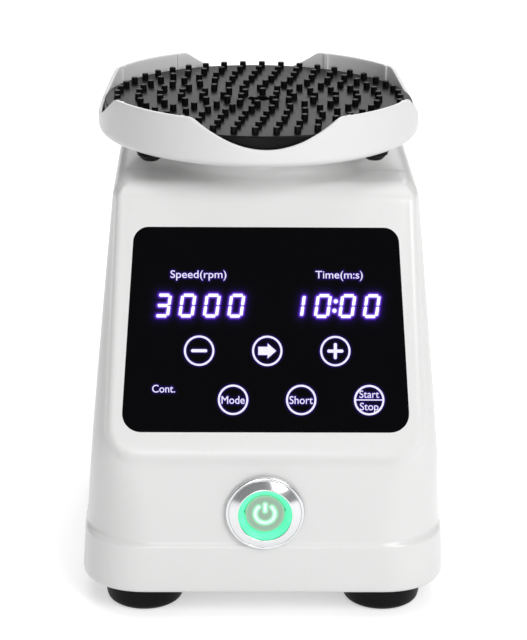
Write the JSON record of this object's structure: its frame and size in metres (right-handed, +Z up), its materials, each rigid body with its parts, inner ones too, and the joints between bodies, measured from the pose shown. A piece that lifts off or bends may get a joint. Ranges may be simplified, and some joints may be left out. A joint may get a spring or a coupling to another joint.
{
  "type": "vortex mixer",
  "caption": "Bench vortex mixer: leaning glass control face, lit push power button and a lobed orbiting tray with a pinned rubber pad on a sprung motor carriage.",
  "frame": {"origin": "on the floor under the motor shaft, which is also the middle of the body", "axes": "+Z up, +X to the right seen from the control face, the control face looks towards -Y"},
  "size_m": [0.116, 0.139, 0.158],
  "materials": {
    "shell_white": "gloss",
    "tray_white": "gloss",
    "base_plastic": "matte",
    "ballast_iron": "matte",
    "foot_rubber": "matte",
    "pad_rubber": "matte",
    "seal_rubber": "matte",
    "control_glass": "gloss",
    "circuit_board": "satin",
    "display": "gloss",
    "black_plastic": "satin",
    "light_ring": "gloss",
    "button_metal": "polished",
    "steel": "brushed",
    "spring_steel": "polished",
    "aluminium": "machined",
    "copper": "polished",
    "brass": "polished",
    "cable_plastic": "matte",
    "fuse_glass": "gloss"
  },
  "bodies": {
    "base": {"housing": "shell_white", "base_plate": "base_plastic", "ballast_weight": "ballast_iron", "foot_front_left": "foot_rubber", "foot_front_right": "foot_rubber", "foot_rear_left": "foot_rubber", "foot_rear_right": "foot_rubber", "foot_screws": "steel", "ballast_screws": "steel", "control_glass": "control_glass", "glass_gasket": "seal_rubber", "control_board": "circuit_board", "speed_display": "display", "time_display": "display", "touch_springs": "spring_steel", "board_screws": "steel", "power_button_bezel": "button_metal", "power_button_gasket": "seal_rubber", "power_button_nut": "steel", "power_button_ring": "light_ring", "power_button_spring": "spring_steel", "power_button_block": "black_plastic", "inlet_body": "black_plastic", "inlet_pins": "steel", "inlet_screws": "steel", "supply_board": "circuit_board", "supply_parts": "black_plastic", "supply_standoffs": "brass", "ribbon_cable": "cable_plastic", "guide_posts": "steel", "post_nuts": "steel", "lift_springs": "spring_steel", "press_switch": "black_plastic", "neck_boot": "seal_rubber"},
    "power_button": {"power_button_cap": "button_metal"},
    "drawer": {"fuse_drawer": "black_plastic", "fuse": "fuse_glass"},
    "carriage": {"guide_bushes": "brass", "carriage_plate": "aluminium", "motor_can": "steel", "motor_end_bell": "steel", "motor_screws": "steel", "motor_stator": "steel", "stator_windings": "copper", "motor_bearing_outer_rings": "steel"},
    "rotor": {"motor_shaft": "steel", "motor_magnet": "steel", "motor_bearing_inner_rings": "steel", "motor_bearing_balls": "steel", "crank_hub": "steel", "crank_set_screw": "steel", "head_bearing_inner_ring": "steel", "head_bearing_balls": "steel"},
    "head": {"head_bearing_outer_ring": "steel", "head_hub": "aluminium", "tray": "tray_white", "rubber_pad": "pad_rubber", "pad_plugs": "seal_rubber", "centre_screw": "steel"}
  },
  "joints": [
    {"name": "head_press", "type": "slide", "parent": "base", "child": "carriage", "axis": [0, 0, -1], "range_m": [0, 0.002], "stiffness_N_per_m": 5000, "springref_m": -0.005, "deforming": ["lift_springs", "neck_boot"]},
    {"name": "shaft_spin", "type": "hinge", "parent": "carriage", "child": "rotor", "pos_m": [0, 0, 0.1], "axis": [0, 0, 1], "continuous": true},
    {"name": "head_orbit", "type": "hinge", "parent": "rotor", "child": "head", "pos_m": [-0.00191, -0.0006, 0.11], "axis": [0, 0, 1], "continuous": true},
    {"name": "power_button_press", "type": "slide", "parent": "base", "child": "power_button", "axis": [0, 1, 0], "range_m": [0, 0.0015], "stiffness_N_per_m": 600, "springref_m": -0.002, "deforming": ["power_button_spring"]},
    {"name": "fuse_drawer_slide", "type": "slide", "parent": "base", "child": "drawer", "axis": [0, 1, 0], "range_m": [0, 0.012]}
  ],
  "couplings": [
    {"joint": "head_orbit", "follows": "shaft_spin", "ratio": -1}
  ]
}
